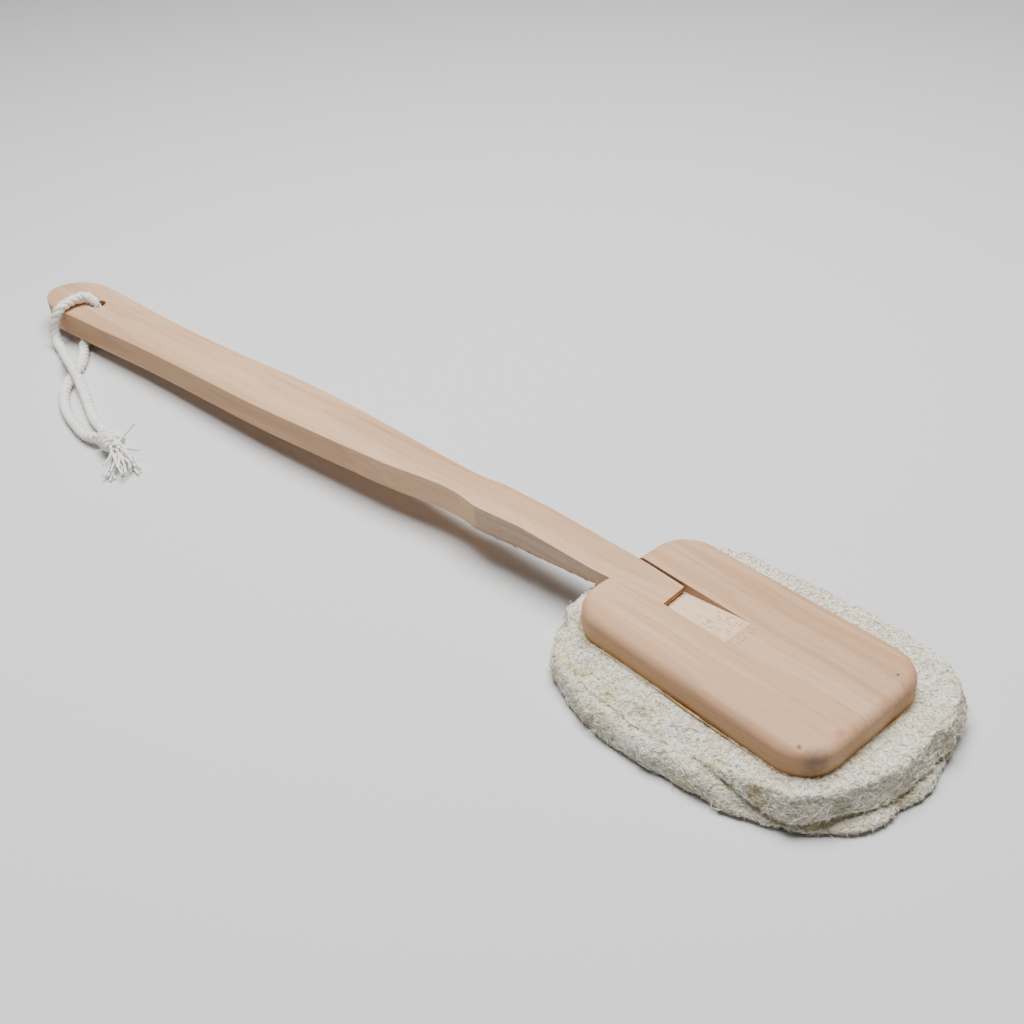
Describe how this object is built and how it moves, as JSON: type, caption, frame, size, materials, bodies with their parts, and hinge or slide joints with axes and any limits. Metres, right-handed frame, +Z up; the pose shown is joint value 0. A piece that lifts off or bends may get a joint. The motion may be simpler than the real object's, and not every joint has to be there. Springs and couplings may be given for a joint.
{
  "type": "loofah back scrubber",
  "caption": "Wooden back scrubber: a long flat handle tapers into a groove in a rounded rectangular block on a layered loofah pad, with a hanging cord through the handle's end.",
  "frame": {"origin": "on the pad's lower face, under the middle of the head block", "axes": "+X along the head towards its front, the handle runs towards -X; +Z up, from the pad to the block"},
  "size_m": [0.487, 0.1396, 0.0253],
  "materials": {
    "wood": "bare fine-grained wood, sanded, matte",
    "loofah": "pressed dry loofah fibre, matte",
    "cord": "twisted cotton, matte",
    "glue": "dried amber glue, satin"
  },
  "bodies": {
    "head": {"head_block": "wood", "glue_bead": "glue", "loofah_upper_layer": "loofah", "loofah_lower_layer": "loofah"},
    "handle": {"handle": "wood", "hanging_cord": "cord", "cord_knot": "cord", "cord_tassel": "cord"}
  },
  "joints": [
    {"name": "handle_slide", "type": "slide", "parent": "head", "child": "handle", "axis": [-1, 0, 0], "range_m": [0, 0.03]}
  ]
}
